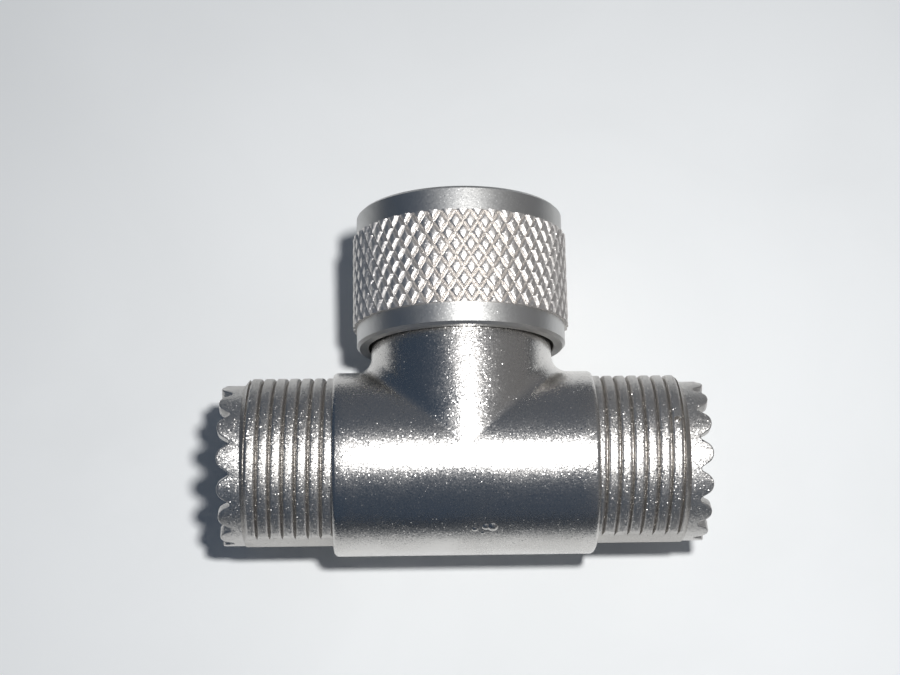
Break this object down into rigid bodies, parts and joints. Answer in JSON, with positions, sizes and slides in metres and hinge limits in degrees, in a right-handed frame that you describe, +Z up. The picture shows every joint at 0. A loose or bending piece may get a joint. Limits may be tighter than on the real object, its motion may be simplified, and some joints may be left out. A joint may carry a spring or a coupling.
{
  "type": "coax tee adapter",
  "caption": "Nickel-plated coaxial tee adapter: a crossbar with a threaded, toothed jack at each end and a stem carrying a plug with a captive knurled coupling nut.",
  "frame": {"origin": "on the table under the middle of the adapter's footprint, as it lies at rest", "axes": "+X along the crossbar to the right-hand jack, +Z up, and the stem points along +Y, tipped up by 7.28 degrees because the nut is fatter than the barrel"},
  "size_m": [0.0424, 0.0332, 0.0205],
  "materials": {
    "cast_nickel": "satin nickel plate over a die casting",
    "turned_nickel": "nickel plate over turned metal",
    "spring_steel": "bright spring steel",
    "insulation": "waxy white plastic",
    "silver_plate": "silver plate over brass",
    "bare_brass": "bare brass"
  },
  "bodies": {
    "adapter": {"tee_body": "cast_nickel", "left_insulator": "insulation", "right_insulator": "insulation", "plug_insulator": "insulation", "left_socket_contact": "silver_plate", "right_socket_contact": "silver_plate", "plug_pin": "silver_plate", "junction_block": "bare_brass"},
    "ring": {"snap_ring": "spring_steel"},
    "nut": {"coupling_nut": "turned_nickel"}
  },
  "joints": [
    {"name": "nut_slide", "type": "slide", "parent": "adapter", "child": "ring", "axis": [0, 0.9919, 0.1267], "range_m": [0, 0.0012]},
    {"name": "nut_spin", "type": "hinge", "parent": "ring", "child": "nut", "pos_m": [0, 0.00801, 0.01025], "axis": [0, 0.9919, 0.1267], "continuous": true}
  ]
}
